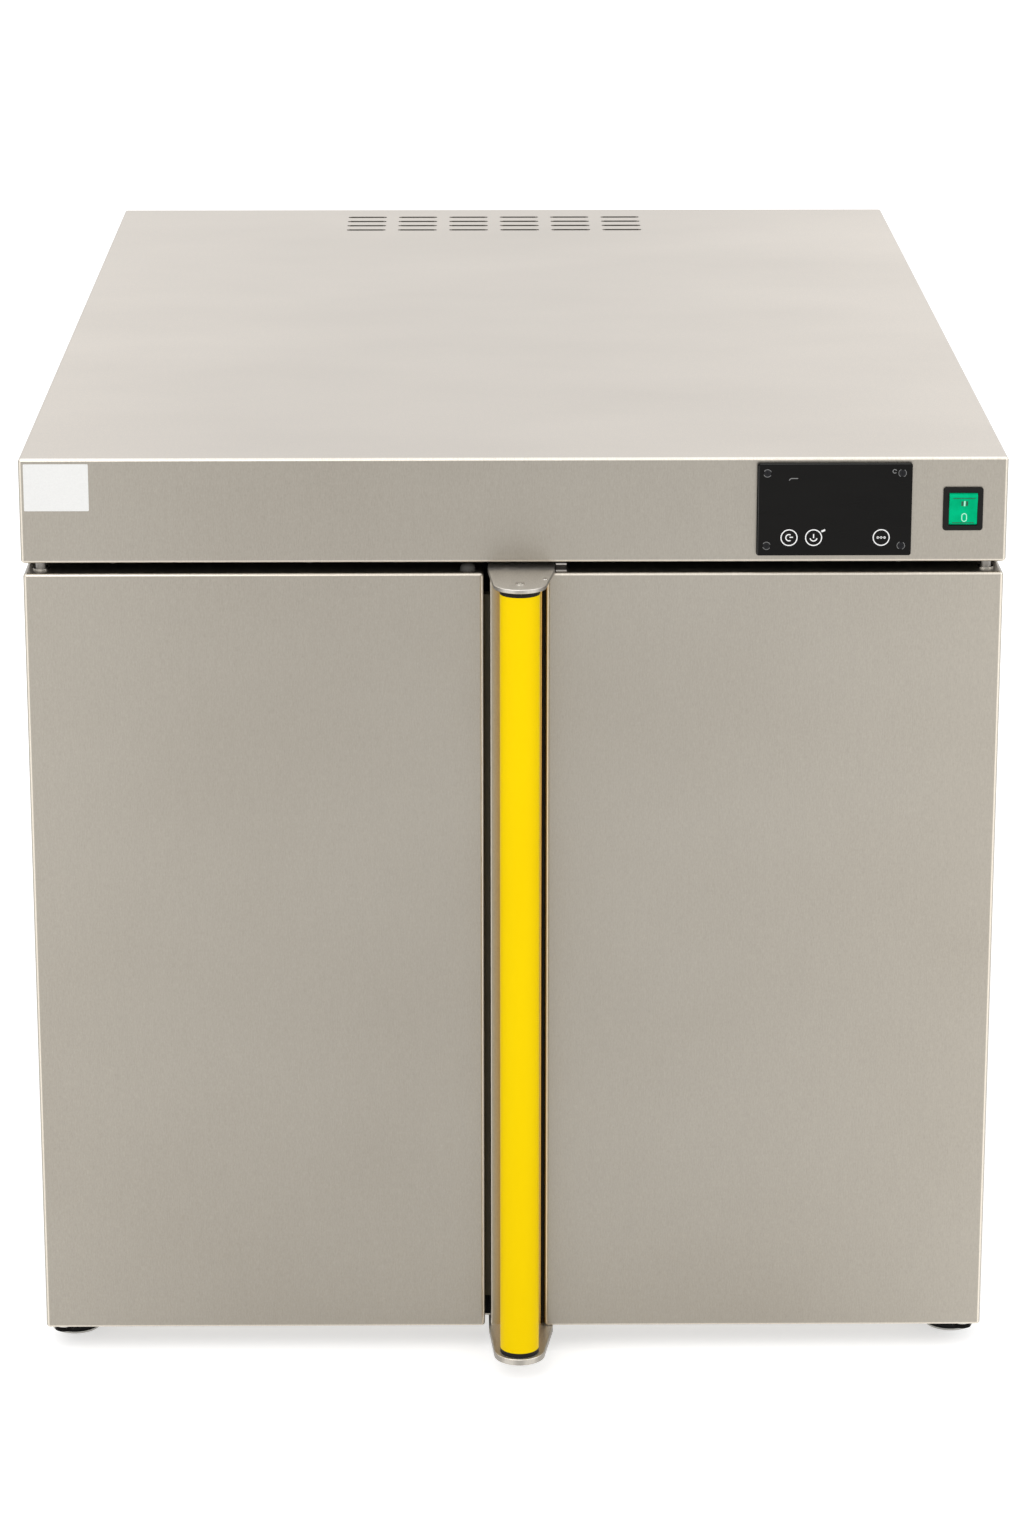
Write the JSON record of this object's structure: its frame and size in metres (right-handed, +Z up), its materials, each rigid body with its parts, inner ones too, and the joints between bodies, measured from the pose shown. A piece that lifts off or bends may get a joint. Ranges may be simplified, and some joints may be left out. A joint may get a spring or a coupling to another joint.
{
  "type": "heating cabinet",
  "caption": "Free-standing heating cabinet with hinged double doors, a full-height tube handle, a control hood on top and a fan-heated chamber with slotted trays.",
  "frame": {"origin": "on the floor, under the middle of the whole outline, handle included", "axes": "+X to the object's right side as seen from the front, +Y to the rear, +Z up; the doors face -Y"},
  "size_m": [0.8, 1.265, 0.7825],
  "materials": {
    "brushed_sheet": "fine upright brushing",
    "plain_sheet": "fine lengthwise brushing",
    "chamber_sheet": "smooth cold-rolled",
    "bright_steel": "bright turned",
    "blackened_steel": "blackened, satin",
    "heater_steel": "heat-darkened",
    "yellow_grip": "satin powder coat",
    "black_plastic": "moulded satin",
    "black_gloss": "polished front film",
    "green_rocker": "translucent moulded",
    "black_rubber": "moulded",
    "grey_silicone": "extruded",
    "mineral_wool": "pressed fibre slab",
    "board_green": "solder mask",
    "pale_plastic": "moulded",
    "motor_case": "stoved enamel",
    "black_frame": "satin black coat",
    "foot_disc": "turned"
  },
  "bodies": {
    "cabinet": {"hood": "brushed_sheet", "hood_base": "black_frame", "hood_screws": "bright_steel", "left_side_panel": "plain_sheet", "right_side_panel": "plain_sheet", "base_panel": "plain_sheet", "rear_panel": "plain_sheet", "frame_stiles": "black_frame", "frame_rails": "black_frame", "centre_mullion": "black_frame", "chamber_side_walls": "chamber_sheet", "chamber_floor": "chamber_sheet", "chamber_ceiling": "chamber_sheet", "chamber_rear_wall": "chamber_sheet", "chamber_insulation": "mineral_wool", "side_tray_rails": "chamber_sheet", "centre_tray_rails": "chamber_sheet", "centre_posts": "chamber_sheet", "left_trays": "chamber_sheet", "right_trays": "chamber_sheet", "fan_baffle": "chamber_sheet", "fan_motor": "motor_case", "ring_heater": "heater_steel", "temperature_probe": "bright_steel", "control_panel": "black_gloss", "panel_screws": "blackened_steel", "control_board": "board_green", "power_relay": "black_plastic", "terminal_block": "pale_plastic", "safety_thermostat": "pale_plastic", "switch_housing": "black_plastic", "cable_gland": "black_plastic", "gland_locknut": "black_plastic", "feet": "black_rubber", "foot_pads": "foot_disc", "bottom_hinge_brackets": "black_frame", "top_hinge_pins": "bright_steel", "hinge_washers": "bright_steel"},
    "left_door": {"left_door_skin": "brushed_sheet", "left_door_liner": "chamber_sheet", "left_door_insulation": "mineral_wool", "left_door_gasket": "grey_silicone", "left_door_bushes": "bright_steel", "left_door_buffer": "black_rubber"},
    "right_door": {"right_door_skin": "brushed_sheet", "right_door_liner": "chamber_sheet", "right_door_insulation": "mineral_wool", "right_door_gasket": "grey_silicone", "right_door_bushes": "bright_steel", "right_door_catch": "bright_steel", "centre_strip": "brushed_sheet", "strip_seals": "black_rubber", "handle_top_plate": "brushed_sheet", "handle_bottom_plate": "brushed_sheet", "handle_tube": "yellow_grip", "handle_end_plugs": "black_plastic", "handle_screws": "bright_steel"},
    "power_rocker": {"switch_rocker": "green_rocker"},
    "fan": {"fan_wheel": "bright_steel", "fan_shaft": "bright_steel"}
  },
  "joints": [
    {"name": "left_door_hinge", "type": "hinge", "parent": "cabinet", "child": "left_door", "pos_m": [-0.385, -0.5455, 0.3555], "axis": [0, 0, -1], "range_deg": [0, 115]},
    {"name": "right_door_hinge", "type": "hinge", "parent": "cabinet", "child": "right_door", "pos_m": [0.385, -0.5455, 0.3555], "axis": [0, 0, 1], "range_deg": [0, 115]},
    {"name": "rocker_pivot", "type": "hinge", "parent": "cabinet", "child": "power_rocker", "pos_m": [0.3638, -0.5625, 0.74], "axis": [1, 0, 0], "range_deg": [-16, 0]},
    {"name": "fan_spin", "type": "hinge", "parent": "cabinet", "child": "fan", "pos_m": [0, 0.5, 0.355], "axis": [0, 1, 0], "continuous": true}
  ]
}
